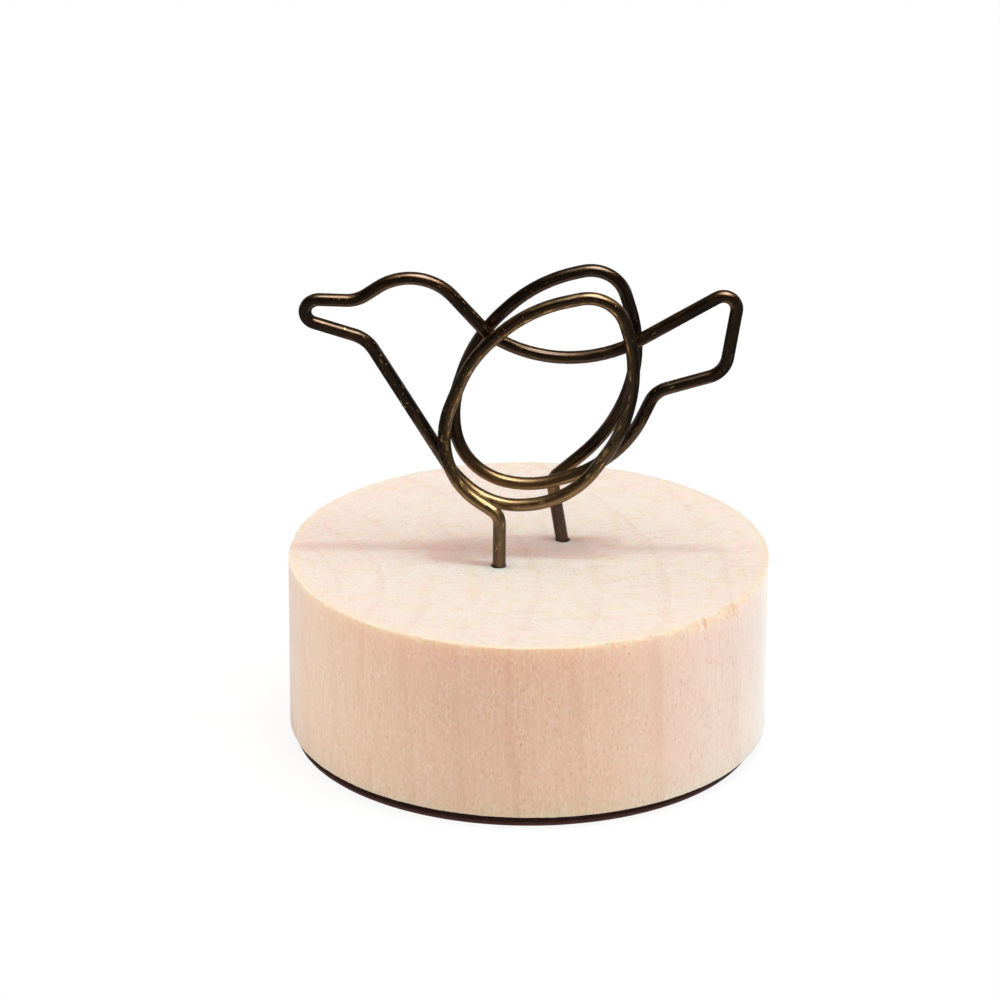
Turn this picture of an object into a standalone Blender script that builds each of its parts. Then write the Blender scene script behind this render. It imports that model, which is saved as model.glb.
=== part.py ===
"""A memo clip holder: a wooden disc, a bird bent from one length of brass wire, and a thin pad.

Metres, +Z up. The origin is the middle of the face that the object stands on. The bird lies in
the XZ plane with its beak towards -X, and -Y is the side it is seen from. Its body is two
rings, one before and one behind the line of its back, and a card is pushed down between them.
"""
import math
from collections import namedtuple

import bpy
import numpy as np
from mathutils import Vector

MM = 0.001

# The disc, its pad and the glue between them
BASE_D = 40 * MM
BASE_H = 15 * MM
BASE_EDGE = 0.3 * MM
BASE_SIDES = 128
PAD_INSET = 0.5 * MM
PAD_T = 1 * MM
PAD_EDGE = 0.15 * MM
GLUE_LINE = 0.05 * MM

# The wire, the room for a card between its layers, and how the legs sit in the disc: each is
# sprung by LEG_PRESS from the middle of its hole towards the disc's middle
WIRE_D = 1.1 * MM
WIRE_SIDES = 12
CARD_GAP = 0.45 * MM
LEG_DEPTH = 9 * MM
HOLE_CLEARANCE = 0.08 * MM
LEG_PRESS = 0.05 * MM
HOLE_END_GAP = 0.3 * MM
HOLE_SIDES = 32
DRILL_POINT = math.radians(118)

# The most that one straight piece of a bend turns, and the step along the wire at which the
# gap to itself is measured
BEND_STEP = math.radians(8)
GAP_STEP = 0.4 * MM
GAP_PASSES = 4.5 * MM

# The bird's length from beak to tail, measured between the middles of the wire, and the same
# length in steps of the grid that the bird is drawn on
BIRD_L = 35.3 * MM
BIRD_STEPS = 35.3

Bend = namedtuple("Bend", "name x z radius layer")

# The bends, from the front leg to the back leg. Each row is where two straight runs would
# cross: grid steps to the right of the disc's middle, grid steps above its top face, the
# bend's radius in grid steps, and layers of wire behind the bird's own plane.
FRONT_LEG_TOP = Bend("front_leg_top", x=-2.45, z=4.5, radius=1.2, layer=-2)
FRONT_RING = (
    Bend("low_left", x=-6.4, z=6.8, radius=6.0, layer=-1.35),
    Bend("left", x=-7.3, z=11.5, radius=7.5, layer=-1),
    Bend("upper_left", x=-4.9, z=17.7, radius=10.5, layer=-1),
    Bend("brow", x=-0.1, z=22.0, radius=11.7, layer=-1),
    Bend("shoulder", x=6.8, z=23.5, radius=3.2, layer=-1),
    Bend("right", x=9.0, z=17.1, radius=13.0, layer=-1),
    Bend("low_right", x=7.5, z=11.0, radius=10.7, layer=-1),
    Bend("bottom", x=3.4, z=5.0, radius=7.8, layer=-0.85),
    Bend("bottom_left", x=-3.3, z=4.2, radius=6.4, layer=-0.45),
)
HEAD = (
    Bend("breast_low", x=-6.3, z=7.0, radius=4.0, layer=0),
    Bend("throat", x=-13.4, z=18.8, radius=2.9, layer=0),
    Bend("beak_low", x=-20.3, z=21.0, radius=1.0, layer=0),
    Bend("beak_high", x=-17.5, z=22.2, radius=1.0, layer=0),
    Bend("forehead", x=-14.2, z=22.1, radius=2.7, layer=0),
    Bend("crown", x=-9.1, z=25.6, radius=4.7, layer=0),
    Bend("nape", x=-3.4, z=19.2, radius=2.3, layer=0),
)
BACK_AND_TAIL = (
    Bend("back", x=3.4, z=15.5, radius=11.6, layer=0),
    Bend("tail_tip", x=17.2, z=23.7, radius=1.1, layer=0),
    Bend("tail_low", x=16.0, z=16.0, radius=2.1, layer=0),
    Bend("tail_root", x=10.3, z=14.3, radius=2.1, layer=0),
    Bend("rump", x=8.3, z=9.7, radius=10.0, layer=0.25),
)
BACK_RING = (
    Bend("bottom_right", x=4.8, z=6.8, radius=8.1, layer=0.6),
    Bend("bottom", x=0.3, z=5.3, radius=7.8, layer=0.8),
    Bend("low_left", x=-5.5, z=6.4, radius=5.6, layer=1),
    Bend("left", x=-6.5, z=12.3, radius=9.2, layer=1),
    Bend("upper_left", x=-4.5, z=18.5, radius=12.2, layer=1),
    Bend("brow", x=0.6, z=23.4, radius=11.8, layer=1),
    Bend("shoulder", x=7.0, z=24.8, radius=3.0, layer=1),
    Bend("right", x=9.2, z=17.7, radius=12.2, layer=1.1),
    Bend("low_right", x=7.3, z=10.4, radius=14.4, layer=1.4),
)
BACK_LEG_TOP = Bend("back_leg_top", x=1.9, z=5.4, radius=1.1, layer=1.8)
BACK_LEG_MOUTH = Bend("back_leg_mouth", x=2.8, z=0, radius=1.5, layer=1.65)

# Worked out from the sizes above
GRID = BIRD_L / BIRD_STEPS
LAYER = WIRE_D + CARD_GAP
PAD_D = BASE_D - 2 * PAD_INSET
BASE_BOTTOM_Z = PAD_T + GLUE_LINE
BASE_TOP_Z = BASE_BOTTOM_Z + BASE_H
HOLE_D = WIRE_D + 2 * HOLE_CLEARANCE


def clear_scene():
    for obj in list(bpy.data.objects):
        bpy.data.objects.remove(obj)


def new_collection(name):
    collection = bpy.data.collections.new(name)
    bpy.context.scene.collection.children.link(collection)
    return collection


def material(name, colour, roughness, metallic=0.0):
    """A Principled material; colour is linear red, green and blue."""
    made = bpy.data.materials.new(name)
    made.use_nodes = True
    shader = made.node_tree.nodes["Principled BSDF"]
    shader.inputs["Base Color"].default_value = (*colour, 1)
    shader.inputs["Roughness"].default_value = roughness
    shader.inputs["Metallic"].default_value = metallic
    made.diffuse_color = (*colour, 1)
    return made


def put_in(collection, obj):
    for old in list(obj.users_collection):
        old.objects.unlink(obj)
    collection.objects.link(obj)


def disc(name, diameter, height, bottom_z, edge, collection):
    """A flat round piece with both rims rounded."""
    bpy.ops.mesh.primitive_cylinder_add(
        vertices=BASE_SIDES,
        radius=diameter / 2,
        depth=height,
        location=(0, 0, bottom_z + height / 2),
    )
    obj = bpy.context.object
    obj.name = obj.data.name = name
    put_in(collection, obj)
    bevel = obj.modifiers.new("rounded_rims", "BEVEL")
    bevel.width = edge
    bevel.segments = 3
    bevel.limit_method = "ANGLE"
    bevel.angle_limit = math.radians(60)
    obj.data.shade_smooth()
    obj.data.set_sharp_from_angle(angle=math.radians(40))
    return obj


def drill(name, x, y, collection):
    """The space that a drill leaves for one leg: a hole with a pointed end, cut from the top."""
    radius = HOLE_D / 2
    depth = LEG_DEPTH + HOLE_END_GAP
    over = BASE_EDGE
    point = radius / math.tan(DRILL_POINT / 2)
    profile = [(0, over), (radius, over), (radius, -depth), (0, -depth - point)]
    mesh = bpy.data.meshes.new(name)
    mesh.from_pydata(
        [(across, 0, up) for across, up in profile],
        [(i, i + 1) for i in range(len(profile) - 1)],
        [],
    )
    obj = bpy.data.objects.new(name, mesh)
    obj.location = (x, y, BASE_TOP_Z)
    turn = obj.modifiers.new("turn", "SCREW")
    turn.steps = turn.render_steps = HOLE_SIDES
    turn.use_merge_vertices = True
    turn.merge_threshold = 0.00001
    obj.hide_render = True
    obj.display_type = "WIRE"
    collection.objects.link(obj)
    return obj


def cut(obj, cutter):
    boolean = obj.modifiers.new("cut_" + cutter.name, "BOOLEAN")
    boolean.operation = "DIFFERENCE"
    boolean.solver = "EXACT"
    boolean.object = cutter


def corner(bend):
    """Where two runs of the wire would cross, and the radius of the bend there."""
    place = Vector((bend.x * GRID, bend.layer * LAYER, BASE_TOP_Z + bend.z * GRID))
    return place, bend.radius * GRID


def leg_end(bend):
    """The end of the leg that goes straight down into the disc from this bend."""
    place, _ = corner(bend)
    return Vector((place.x, place.y, BASE_TOP_Z - LEG_DEPTH)), 0


def wire_corners():
    """The corners of the whole wire and the radius of the bend at each."""
    return [
        leg_end(FRONT_LEG_TOP),
        corner(FRONT_LEG_TOP),
        *map(corner, FRONT_RING),
        *map(corner, HEAD),
        *map(corner, BACK_AND_TAIL),
        *map(corner, BACK_RING),
        corner(BACK_LEG_TOP),
        corner(BACK_LEG_MOUTH),
        leg_end(BACK_LEG_MOUTH),
    ]


def bend_lengths(corners):
    """How far from its corner each bend starts, held to what the straight runs have room for."""
    reach = [0.0] * len(corners)
    for i in range(1, len(corners) - 1):
        before, (here, radius), after = corners[i - 1][0], corners[i], corners[i + 1][0]
        reach[i] = radius * math.tan((here - before).angle(after - here) / 2)
    room = [1.0] * len(corners)
    for i in range(len(corners) - 1):
        run = (corners[i + 1][0] - corners[i][0]).length
        share = min(1.0, run / max(reach[i] + reach[i + 1], run))
        room[i] = min(room[i], share)
        room[i + 1] = min(room[i + 1], share)
    return [length * share for length, share in zip(reach, room)]


def bent_line(corners):
    """Points along straight runs that are joined by round bends."""
    reach = bend_lengths(corners)
    points = [corners[0][0]]
    for i in range(1, len(corners) - 1):
        here = corners[i][0]
        into = (here - corners[i - 1][0]).normalized()
        out = (corners[i + 1][0] - here).normalized()
        turn = into.angle(out)
        radius = reach[i] / math.tan(turn / 2)
        middle = here + (out - into).normalized() * radius / math.cos(turn / 2)
        first = here - into * reach[i] - middle
        last = here + out * reach[i] - middle
        steps = max(2, math.ceil(turn / BEND_STEP))
        for step in range(steps + 1):
            part = step / steps
            first_weight = math.sin((1 - part) * turn)
            last_weight = math.sin(part * turn)
            points.append(middle + (first * first_weight + last * last_weight) / math.sin(turn))
    points.append(corners[-1][0])
    return points


def least_gap(points):
    """The least gap between the wire's surface and itself, where it passes by."""
    line = np.array([point[:] for point in points])
    runs = np.linalg.norm(np.diff(line, axis=0), axis=1)
    along = np.concatenate([[0], np.cumsum(runs)])
    at = np.arange(0, along[-1], GAP_STEP)
    samples = np.stack([np.interp(at, along, line[:, axis]) for axis in range(3)], axis=1)
    apart = np.linalg.norm(samples[:, None] - samples[None], axis=2)
    passes = np.abs(at[:, None] - at[None]) > GAP_PASSES
    return apart[passes].min() - WIRE_D, along[-1]


def wooden_base(collection, cutters):
    obj = disc("wooden_base", BASE_D, BASE_H, BASE_BOTTOM_Z, BASE_EDGE, collection)
    front_foot, _ = leg_end(FRONT_LEG_TOP)
    back_foot, _ = leg_end(BACK_LEG_MOUTH)
    cut(obj, drill("front_leg_hole", front_foot.x - LEG_PRESS, front_foot.y, cutters))
    cut(obj, drill("back_leg_hole", back_foot.x + LEG_PRESS, back_foot.y, cutters))
    obj.data.materials.append(material("pale_wood", (0.86, 0.72, 0.60), 0.75))
    return obj


def wire_bird(collection):
    points = bent_line(wire_corners())
    curve = bpy.data.curves.new("wire_bird", "CURVE")
    curve.dimensions = "3D"
    curve.bevel_depth = WIRE_D / 2
    curve.bevel_resolution = (WIRE_SIDES - 4) // 2
    curve.use_fill_caps = True
    spline = curve.splines.new("POLY")
    spline.points.add(len(points) - 1)
    for place, point in zip(spline.points, points):
        place.co = (*point, 1)
    spline.use_smooth = True
    curve.materials.append(material("aged_brass_wire", (0.10, 0.065, 0.03), 0.35, 0.9))
    obj = bpy.data.objects.new("wire_bird", curve)
    collection.objects.link(obj)
    gap, length = least_gap(points)
    print(f"wire_bird: {length / MM:.0f} mm of wire, least gap to itself {gap / MM:.2f} mm")
    return obj


def base_pad(collection):
    obj = disc("base_pad", PAD_D, PAD_T, 0, PAD_EDGE, collection)
    obj.data.materials.append(material("dark_foam", (0.045, 0.025, 0.018), 0.95))
    return obj


def main():
    clear_scene()
    parts = new_collection("memo_clip_holder")
    cutters = new_collection("cutters")
    wooden_base(parts, cutters)
    wire_bird(parts)
    base_pad(parts)
    cutters.hide_render = True


main()
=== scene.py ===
"""A memo clip holder, dressed for a picture: a pale wooden disc, a bird bent from aged brass wire
and a dark foam pad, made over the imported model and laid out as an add-on."""

import math
from collections import namedtuple

import bmesh
import bpy
from bpy.props import (
    FloatProperty,
    FloatVectorProperty,
    IntProperty,
    PointerProperty,
)
from mathutils import Matrix, Vector, noise


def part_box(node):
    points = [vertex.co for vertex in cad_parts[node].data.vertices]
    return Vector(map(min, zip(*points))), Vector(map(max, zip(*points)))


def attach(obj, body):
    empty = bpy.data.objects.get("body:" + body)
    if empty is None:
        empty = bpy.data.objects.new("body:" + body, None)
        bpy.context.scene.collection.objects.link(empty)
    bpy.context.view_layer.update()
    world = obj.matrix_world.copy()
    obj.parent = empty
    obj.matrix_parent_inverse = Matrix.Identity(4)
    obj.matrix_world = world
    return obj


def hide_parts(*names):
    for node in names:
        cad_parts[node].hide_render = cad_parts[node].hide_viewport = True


bl_info = {
    "name": "Memo clip holder",
    "version": (1, 0, 0),
    "blender": (4, 5, 0),
    "location": "3D View > Sidebar > Memo clip",
    "description": "Makes a memo clip holder: a wooden disc, a bird of brass wire and a foam pad",
    "category": "Object",
}

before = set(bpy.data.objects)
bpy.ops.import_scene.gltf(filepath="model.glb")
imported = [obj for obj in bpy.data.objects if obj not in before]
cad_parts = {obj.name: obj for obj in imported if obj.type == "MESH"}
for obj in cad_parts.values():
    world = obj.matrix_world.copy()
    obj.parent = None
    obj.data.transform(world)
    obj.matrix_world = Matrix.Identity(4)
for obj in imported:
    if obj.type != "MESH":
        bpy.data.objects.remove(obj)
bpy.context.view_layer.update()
DISC_LOW, DISC_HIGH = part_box("wooden_base")
PAD_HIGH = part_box("base_pad")[1]

MM = 0.001
DISC_R = DISC_HIGH.x
DISC_TOP = DISC_HIGH.z
DISC_BOTTOM = DISC_LOW.z
PAD_R = PAD_HIGH.x
PAD_TOP = PAD_HIGH.z
# The glued pad sits a little to the left, and its cut edge a little inside its full radius
PAD_SHIFT = -0.15 * MM
PAD_TRIM = 0.12 * MM

# How deep the legs go into the disc, and the holes that are drilled for them
LEG_DEPTH = 9 * MM
HOLE_R = 0.63 * MM
HOLE_DEPTH = 9.3 * MM
HOLE_POINT = 0.375 * MM
LEG_PRESS = 0.05 * MM

# Into how many sides and steps round shapes are cut
DISC_SIDES = 2048
PAD_SIDES = 540
HOLE_SIDES = 48
FIBRE_LINE_SIDES = 720
DISC_RIM_STEPS = 6
PAD_RIM_STEPS = 5
# Rings of points that hold the faces true: how far inside the full radius, or from a rim
TOP_RINGS_INSIDE = (0.9 * MM, 0.7 * MM)
SIDE_RING_UNDER_TOP = 1.9 * MM
SIDE_RING_OVER_BOTTOM = 0.8 * MM
BOTTOM_RING_INSIDE = 0.6 * MM
PAD_RINGS_INSIDE = 0.8 * MM
SHARP_ANGLE = math.radians(50)

# The bird, drawn on a grid of this step. Each row is where two straight runs of the wire would
# cross: steps to the right of the disc's middle, steps above its top face, the bend's radius in
# steps, and layers of wire behind the bird's own plane.
GRID = 1 * MM
Bend = namedtuple("Bend", "name x z radius layer")
BENDS = tuple(Bend(*row) for row in (
    ("front_leg_top", -2.45, 4.5, 1.2, -2),
    ("front_ring_low_left", -6.4, 6.8, 6.0, -1.35),
    ("front_ring_left", -7.3, 11.5, 7.5, -1),
    ("front_ring_upper_left", -4.9, 17.7, 10.5, -1),
    ("front_ring_brow", -0.1, 22.0, 11.7, -1),
    ("front_ring_shoulder", 6.8, 23.5, 3.2, -1),
    ("front_ring_right", 9.0, 17.1, 13.0, -1),
    ("front_ring_low_right", 7.5, 11.0, 10.7, -1),
    ("front_ring_bottom", 3.4, 5.0, 7.8, -0.85),
    ("front_ring_bottom_left", -3.3, 4.2, 6.4, -0.45),
    ("breast_low", -6.3, 7.0, 4.0, 0),
    ("throat", -13.4, 18.8, 2.9, 0),
    ("beak_low", -20.3, 21.0, 1.0, 0),
    ("beak_high", -17.5, 22.2, 1.0, 0),
    ("forehead", -14.2, 22.1, 2.7, 0),
    ("crown", -9.1, 25.6, 4.7, 0),
    ("nape", -3.4, 19.2, 2.3, 0),
    ("back", 3.4, 15.5, 11.6, 0),
    ("tail_tip", 17.2, 23.7, 1.1, 0),
    ("tail_low", 16.0, 16.0, 2.1, 0),
    ("tail_root", 10.3, 14.3, 2.1, 0),
    ("rump", 8.3, 9.7, 10.0, 0.25),
    ("back_ring_bottom_right", 4.8, 6.8, 8.1, 0.6),
    ("back_ring_bottom", 0.3, 5.3, 7.8, 0.8),
    ("back_ring_low_left", -5.5, 6.4, 5.6, 1),
    ("back_ring_left", -6.5, 12.3, 9.2, 1),
    ("back_ring_upper_left", -4.5, 18.5, 12.2, 1),
    ("back_ring_brow", 0.6, 23.4, 11.8, 1),
    ("back_ring_shoulder", 7.0, 24.8, 3.0, 1),
    ("back_ring_right", 9.2, 17.7, 12.2, 1.1),
    ("back_ring_low_right", 7.3, 10.4, 14.4, 1.4),
    ("back_leg_top", 1.9, 5.4, 1.1, 1.8),
    ("back_leg_mouth", 2.8, 0, 1.5, 1.65),
))
FRONT_LEG_TOP = BENDS[0]
BACK_LEG_MOUTH = BENDS[-1]
BEND_STEP = math.radians(4)
# How many of the bending tool's marks come on a metre, across and along the wire
MARKS_PER_METRE = (900.0, 900.0, 300.0)
# The middle of the front ring: to the right of the disc's middle, and above its top face
RING_MIDDLE = Vector((0.8 * MM, 13.5 * MM))

# The middle of the tree's growth rings, how far from there, in millimetres, they have their full
# spacing, how far they lean for each step up, and what share of a ring comes before the first
PITH = Vector((-30 * MM, -8 * MM))
WIDE_RINGS = 40
RING_LEAN = 0.05
RING_START = 0.229

# How wide the waves and ripples of each rim are, a tear, a fibre and a bundle of fibres
TOP_WAVE = 3 * MM
TOP_RIPPLE = 0.35 * MM
BOTTOM_WAVE = 1.4 * MM
BOTTOM_RIPPLE = 0.3 * MM
PAD_WAVE = 1.2 * MM
PAD_RIPPLE = 0.3 * MM
TEAR_WIDTH = 2.2 * MM
FIBRE_WIDTH = 0.24 * MM
BUNDLE_WIDTH = 0.55 * MM
# How far inwards the rim is torn where it is torn most, and how far it is worn at least
TORN_INWARDS = 0.3 * MM
LEAST_WEAR = 0.05 * MM
LEAST_BOTTOM_WEAR = 0.03 * MM
# How deep the die's marks are in the pad's edge
PAD_MARKS = 0.012 * MM
# Where the loose fibres stand, and how much the rim is torn there at least
FIBRES_INSIDE = 0.27 * MM
FIBRES_DOWN = 0.1 * MM
FIBRES_FROM = 0.25
# Where the top rim is torn: the angle of the middle, the reach to each side, both in degrees
# anticlockwise from the right, and how much
TORN_PLACES = (
    (-47, 20, 1.9), (-26, 12, 0.55), (-66, 12, 0.9), (-117, 6, 0.9), (-104, 4, 0.7),
    (-140, 9, 0.4), (-8, 10, 0.3), (48, 16, 0.5), (120, 14, 0.45), (172, 9, 0.35),
)

# The lamps above the disc, as the photograph's shadows show them: steps to the right and to the
# back from the spot straight above the disc, width and depth in the same steps, and share of the
# light. One step is the height of the lamps.
LAMP_HEIGHT = 0.685
LAMPS_ABOVE = (
    ("soft_box", 0.13, -0.055, 0.44, 0.18, 0.30),
    ("middle_bulb", 0.09, -0.04, 0.06, 0.06, 0.26),
    ("front_bulb", 0.20, -0.27, 0.24, 0.06, 0.10),
    ("right_bulb", 0.27, -0.02, 0.08, 0.06, 0.085),
    ("left_bulb", -0.09, -0.04, 0.06, 0.06, 0.056),
    ("high_right_bulb", 0.49, -0.15, 0.16, 0.12, 0.105),
    ("corner_bulb", 0.72, 0.0, 0.06, 0.06, 0.094),
)
# The lamps that metal shows in their place, given in the same way
GLEAMS_ABOVE = (
    ("gleam_line", 0.27, -0.25, 0.70, 0.70, 0.85),
    ("gleam_box", 0.0, -0.10, 0.75, 0.60, 0.12),
    ("gleam_corner", 0.72, 0.0, 0.06, 0.06, 0.08),
)
# The width and height of the soft boxes at the sides, and where they stand
SIDE_BOX = 0.3
RIGHT_BOX = (0.8, -0.25, 0.2)
LEFT_BOX = (-0.8, 0.2, 0.2)

# The camera that the photograph's outlines give, and half the floor's width
CAMERA_PLACE = Vector((-2.416, -399.778, 184.508)) * MM
CAMERA_TILT = math.radians(22.29)
CAMERA_ROLL = math.radians(0.31)
CAMERA_LENS = 187.5
CAMERA_SENSOR = 36.0
FLOOR_REACH = 6.0

WHITE = (1.0, 1.0, 1.0)


# Settings that a user would change

def colour_setting(name, description, default):
    return FloatVectorProperty(
        name=name, description=description, subtype="COLOR", size=3, min=0, max=1,
        default=default)


def length_setting(name, description, low, high, default):
    """A length; its limits and its default are given in millimetres."""
    return FloatProperty(
        name=name, description=description, subtype="DISTANCE", unit="LENGTH",
        min=low * MM, max=high * MM, default=default * MM)


def power_setting(name, description, default):
    return FloatProperty(
        name=name, description=description, subtype="POWER", unit="POWER", min=0, max=50,
        default=default)


class DiscSettings(bpy.types.PropertyGroup):
    """Sizes and colours of the wooden disc."""

    end_colour: colour_setting(
        "End grain", "Colour of the sanded top and bottom", (0.89, 0.755, 0.645))
    side_colour: colour_setting(
        "Side grain", "Colour of the turned side", (0.785, 0.595, 0.405))
    # The sapwood colour is also painted light: the side grows paler towards the right, where more
    # light falls
    sapwood_and_lit_colour: colour_setting(
        "Sapwood", "Colour of the side far from the tree's middle", (0.86, 0.73, 0.605))
    ring_colour: colour_setting(
        "Growth rings", "Colour of the dense wood in a growth ring", (0.77, 0.48, 0.35))
    fleck_colour: colour_setting(
        "Flecks", "Colour of the pores and short dark flecks", (0.62, 0.39, 0.20))
    rim_colour: colour_setting(
        "Rim", "Colour of the cut fibres along the rims", (0.84, 0.71, 0.48))
    ring_spacing: length_setting(
        "Ring spacing", "Distance between growth rings, far from the middle", 0.5, 20, 5.4)
    rim_wear: length_setting(
        "Rim wear", "How far the rims are rounded by sanding", 0, 0.4, 0.17)
    tear_depth: length_setting(
        "Torn fibres", "How far down the side the fibres are torn out", 0, 2, 0.8)
    fibre_gap: length_setting(
        "Fibre gap", "Distance between loose fibres where the rim is torn", 0.05, 10, 0.16)
    fibre_length: length_setting("Fibre length", "Length of a loose fibre", 0.1, 1, 0.34)
    seed: IntProperty(name="Seed", description="Changes where the fibres tear", default=7)


class BirdSettings(bpy.types.PropertyGroup):
    """Sizes and colours of the wire bird."""

    wire_diameter: length_setting("Wire", "Diameter of the wire", 0.5, 2, 1.1)
    card_gap: length_setting(
        "Card gap", "Room for a card between two layers of wire", 0.2, 2, 0.45)
    wire_sides: IntProperty(
        name="Sides", description="Number of sides of the round wire", min=12, max=48, default=24)
    ring_step: length_setting(
        "Step", "Distance between two rings of points along the wire", 0.1, 1, 0.22)
    dent_depth: length_setting(
        "Dents", "Depth of the marks that the bending tool leaves", 0, 0.1, 0.014)
    patina_dark: colour_setting(
        "Dark patina", "Colour where the patina is thick", (0.036, 0.019, 0.010))
    patina_light: colour_setting(
        "Light patina", "Colour where the patina is thin", (0.095, 0.049, 0.020))
    brass_colour: colour_setting(
        "Bare brass", "Colour where the patina is rubbed off", (0.82, 0.58, 0.23))
    wear: FloatProperty(
        name="Wear", description="How much of the patina is rubbed off", subtype="FACTOR",
        min=0, max=1, default=0.5)


class PadSettings(bpy.types.PropertyGroup):
    """Sizes and colours of the foam pad."""

    foam_colour: colour_setting("Foam", "Colour of the foam", (0.02, 0.006, 0.004))
    # Colour of the foam's cells, and painted light on the lower part of the pad's side
    cell_and_lit_edge_colour: colour_setting(
        "Scuffs", "Colour of the rubbed lower edge", (0.21, 0.125, 0.105))
    cell_size: length_setting("Cells", "Size of the foam's cells", 0.05, 1, 0.14)
    rim_wear: length_setting("Rim wear", "How far the pad's edges are rounded", 0, 0.4, 0.15)
    seed: IntProperty(name="Seed", description="Changes the pad's cut edge", default=3)


class StageSettings(bpy.types.PropertyGroup):
    """Light and floor of the picture."""

    floor_colour: colour_setting("Floor", "Colour of the floor", (0.94, 0.94, 0.94))
    room_colour: colour_setting(
        "Room colour", "Colour of the light from all around", (0.97, 0.62, 0.57))
    room_light: FloatProperty(
        name="Room", description="Strength of the light from all around", min=0, max=2,
        default=0.66)
    key_colour: colour_setting("Key colour", "Colour of the lamps above", (0.605, 0.93, 0.99))
    top_light: power_setting("Top light", "Power of all the lamps above", 3.85)
    gleam_colour: colour_setting(
        "Gleam colour", "Colour of the lamps above, as metal shows them", (1.0, 0.93, 0.9))
    gleam_light: power_setting("Gleam", "Power of the lamps above, as metal shows them", 9.2)
    right_colour: colour_setting(
        "Right colour", "Colour of the soft box at the right", (1.0, 0.78, 0.76))
    right_light: power_setting("Right light", "Power of the soft box at the right", 0.92)
    left_colour: colour_setting(
        "Left colour", "Colour of the soft box at the left", (0.86, 1.0, 1.0))
    left_light: power_setting("Left light", "Power of the soft box at the left", 2.35)


# Helpers for node trees

class Nodes:
    """Adds nodes to one tree, with their values and links given by socket name or number."""

    def __init__(self, tree):
        self.tree = tree

    def link(self, value, socket):
        """Links an output to the socket, or sets the socket to a value. Colours are opaque."""
        if isinstance(value, bpy.types.NodeSocket):
            self.tree.links.new(value, socket)
        elif socket.type == "RGBA":
            socket.default_value = (*value, 1.0)
        else:
            socket.default_value = value

    def add(self, kind, inputs=None, **settings):
        node = self.tree.nodes.new(kind)
        for name, value in settings.items():
            setattr(node, name, value)
        for name, value in (inputs or {}).items():
            self.link(value, node.inputs[name])
        return node

    def math(self, operation, *values):
        node = self.add("ShaderNodeMath", dict(enumerate(values)), operation=operation)
        return node.outputs[0]

    def plus(self, a, b):
        return self.math("ADD", a, b)

    def minus(self, a, b):
        return self.math("SUBTRACT", a, b)

    def times(self, first, *others):
        for other in others:
            first = self.math("MULTIPLY", first, other)
        return first

    def larger(self, a, b):
        return self.math("MAXIMUM", a, b)

    def smaller(self, a, b):
        return self.math("MINIMUM", a, b)

    def vector(self, operation, *values):
        node = self.add("ShaderNodeVectorMath", dict(enumerate(values)), operation=operation)
        is_number = operation in ("LENGTH", "DOT_PRODUCT", "DISTANCE")
        return node.outputs["Value" if is_number else "Vector"]

    def scaled(self, value, factor):
        node = self.add("ShaderNodeVectorMath", {0: value, "Scale": factor}, operation="SCALE")
        return node.outputs["Vector"]

    def painted(self, under, colour, *shares):
        """A colour laid over another, as strongly as the product of the shares."""
        inputs = {0: self.times(*shares), 6: under, 7: colour}
        return self.add("ShaderNodeMix", inputs, data_type="RGBA").outputs[2]

    def smooth(self, value, low, high, to_low=0.0, to_high=1.0):
        """Value taken smoothly from the range low to high into the range to_low to to_high."""
        node = self.add("ShaderNodeMapRange",
                        {0: value, 1: low, 2: high, 3: to_low, 4: to_high},
                        interpolation_type="SMOOTHSTEP")
        return node.outputs[0]

    def noise(self, place, scale, detail=2.0, roughness=0.5):
        node = self.add("ShaderNodeTexNoise", {
            "Vector": place, "Scale": scale, "Detail": detail, "Roughness": roughness})
        return node.outputs["Fac"]

    def combine(self, x, y, z):
        return self.add("ShaderNodeCombineXYZ", {0: x, 1: y, 2: z}).outputs[0]

    def separate(self, value):
        return self.add("ShaderNodeSeparateXYZ", {0: value}).outputs

    def placed(self, tree, place, shift=(0, 0, 0), **inputs):
        """A group's Mask and Height, with its pattern shifted and its inputs set."""
        inputs["Place"] = self.vector("ADD", place, shift)
        return self.add("ShaderNodeGroup", inputs, node_tree=tree).outputs.values()


def mask_group(name, **numbers):
    """A new shader group with these number inputs besides Place, and Mask and Height out."""
    group = bpy.data.node_groups.new(name, "ShaderNodeTree")
    group.interface.new_socket("Place", in_out="INPUT", socket_type="NodeSocketVector")
    for label, default in numbers.items():
        socket = group.interface.new_socket(
            label, in_out="INPUT", socket_type="NodeSocketFloat")
        socket.default_value = default
    for label in ("Mask", "Height"):
        group.interface.new_socket(label, in_out="OUTPUT", socket_type="NodeSocketFloat")
    nodes = Nodes(group)
    return nodes, nodes.add("NodeGroupInput").outputs, nodes.add("NodeGroupOutput").inputs


def mask_from_height(nodes, given, out, height):
    """Share is how much is marked, from 0 to 1, and Softness is how blurred a mark's edge is."""
    edge = nodes.minus(0.8, nodes.times(given["Share"], 0.6))
    mask = nodes.smooth(height, edge, nodes.plus(edge, given["Softness"]))
    nodes.link(mask, out["Mask"])
    nodes.link(height, out["Height"])


def streaks():
    """Marks drawn out along Z: grain on the side of the wood, scratches along the wire."""
    if "Streaks" not in bpy.data.node_groups:
        nodes, given, out = mask_group(
            "Streaks", Width=0.3, Stretch=12.0, Share=0.4, Softness=0.1)
        across = nodes.math("DIVIDE", 1.0, given["Width"])
        along = nodes.math("DIVIDE", across, given["Stretch"])
        drawn = nodes.vector("MULTIPLY", given["Place"], nodes.combine(across, across, along))
        mask_from_height(nodes, given, out, nodes.noise(drawn, 1.0, 3.0, 0.55))
    return bpy.data.node_groups["Streaks"]


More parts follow.
